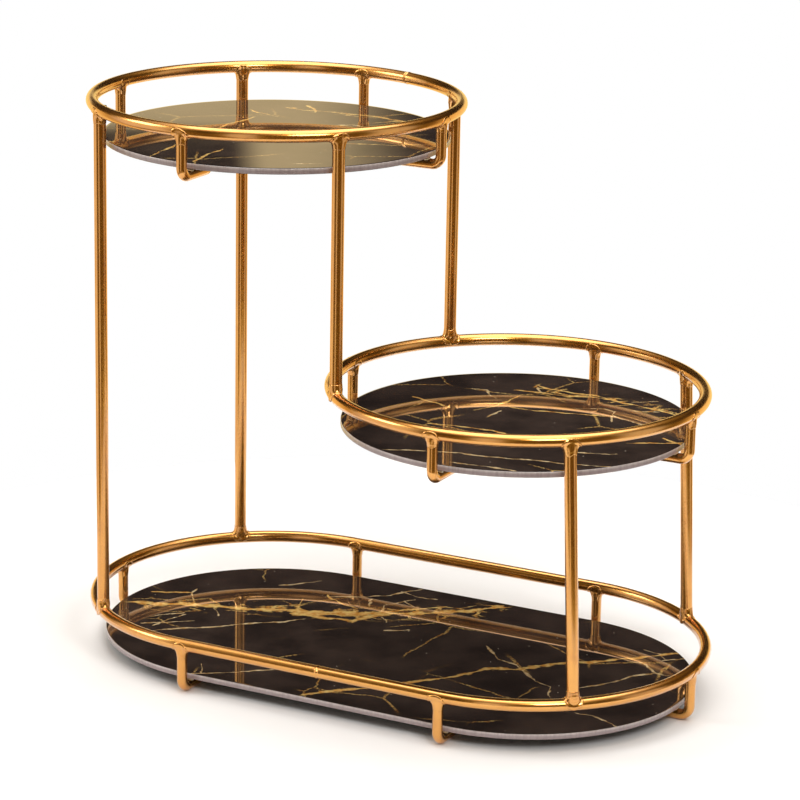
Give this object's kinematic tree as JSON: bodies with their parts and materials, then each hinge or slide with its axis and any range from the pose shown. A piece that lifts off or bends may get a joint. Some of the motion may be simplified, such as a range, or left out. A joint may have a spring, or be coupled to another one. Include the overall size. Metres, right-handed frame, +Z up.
{
  "type": "tiered cake stand",
  "caption": "Stepped wire cake stand: two round trays above one long rounded tray, black marble-look glass on brackets in a satin gold wire frame.",
  "frame": {"origin": "on the table, under the middle of the stand's bounding box", "axes": "+X along the stand from the tall end to the low end, -Y the front, +Z up"},
  "size_m": [0.351, 0.201, 0.3034],
  "materials": {
    "gold_wire": "satin copper-gold plated steel wire",
    "gold_weld": "plated weld bead, slightly rough",
    "marble_glass": "polished glass over a black marble print with gold veins",
    "tray_backing": "matt black printed layer",
    "silicone_pad": "clear silicone dot"
  },
  "bodies": {
    "frame": {"top_rail": "gold_wire", "middle_rail": "gold_wire", "bottom_rail": "gold_wire", "left_front_post": "gold_wire", "left_back_post": "gold_wire", "centre_front_post": "gold_wire", "centre_back_post": "gold_wire", "right_front_post": "gold_wire", "right_back_post": "gold_wire", "top_bracket_right": "gold_wire", "top_bracket_back": "gold_wire", "top_bracket_left": "gold_wire", "top_bracket_front": "gold_wire", "middle_bracket_right": "gold_wire", "middle_bracket_back": "gold_wire", "middle_bracket_left": "gold_wire", "middle_bracket_front": "gold_wire", "bottom_bracket_right": "gold_wire", "bottom_bracket_back_right": "gold_wire", "bottom_bracket_back_left": "gold_wire", "bottom_bracket_left": "gold_wire", "bottom_bracket_front_left": "gold_wire", "bottom_bracket_front_right": "gold_wire", "top_rail_welds": "gold_weld", "middle_rail_welds": "gold_weld", "bottom_rail_welds": "gold_weld", "top_tray_pads": "silicone_pad", "middle_tray_pads": "silicone_pad", "bottom_tray_pads": "silicone_pad"},
    "top_tray": {"top_tray_glass": "marble_glass", "top_tray_backing": "tray_backing"},
    "middle_tray": {"middle_tray_glass": "marble_glass", "middle_tray_backing": "tray_backing"},
    "bottom_tray": {"bottom_tray_glass": "marble_glass", "bottom_tray_backing": "tray_backing"}
  },
  "joints": [
    {"name": "top_tray_lift", "type": "slide", "parent": "frame", "child": "top_tray", "axis": [0, 0, 1], "range_m": [0, 0.06]},
    {"name": "middle_tray_lift", "type": "slide", "parent": "frame", "child": "middle_tray", "axis": [0, 0, 1], "range_m": [0, 0.06]},
    {"name": "bottom_tray_lift", "type": "slide", "parent": "frame", "child": "bottom_tray", "axis": [0, 0, 1], "range_m": [0, 0.06]}
  ]
}
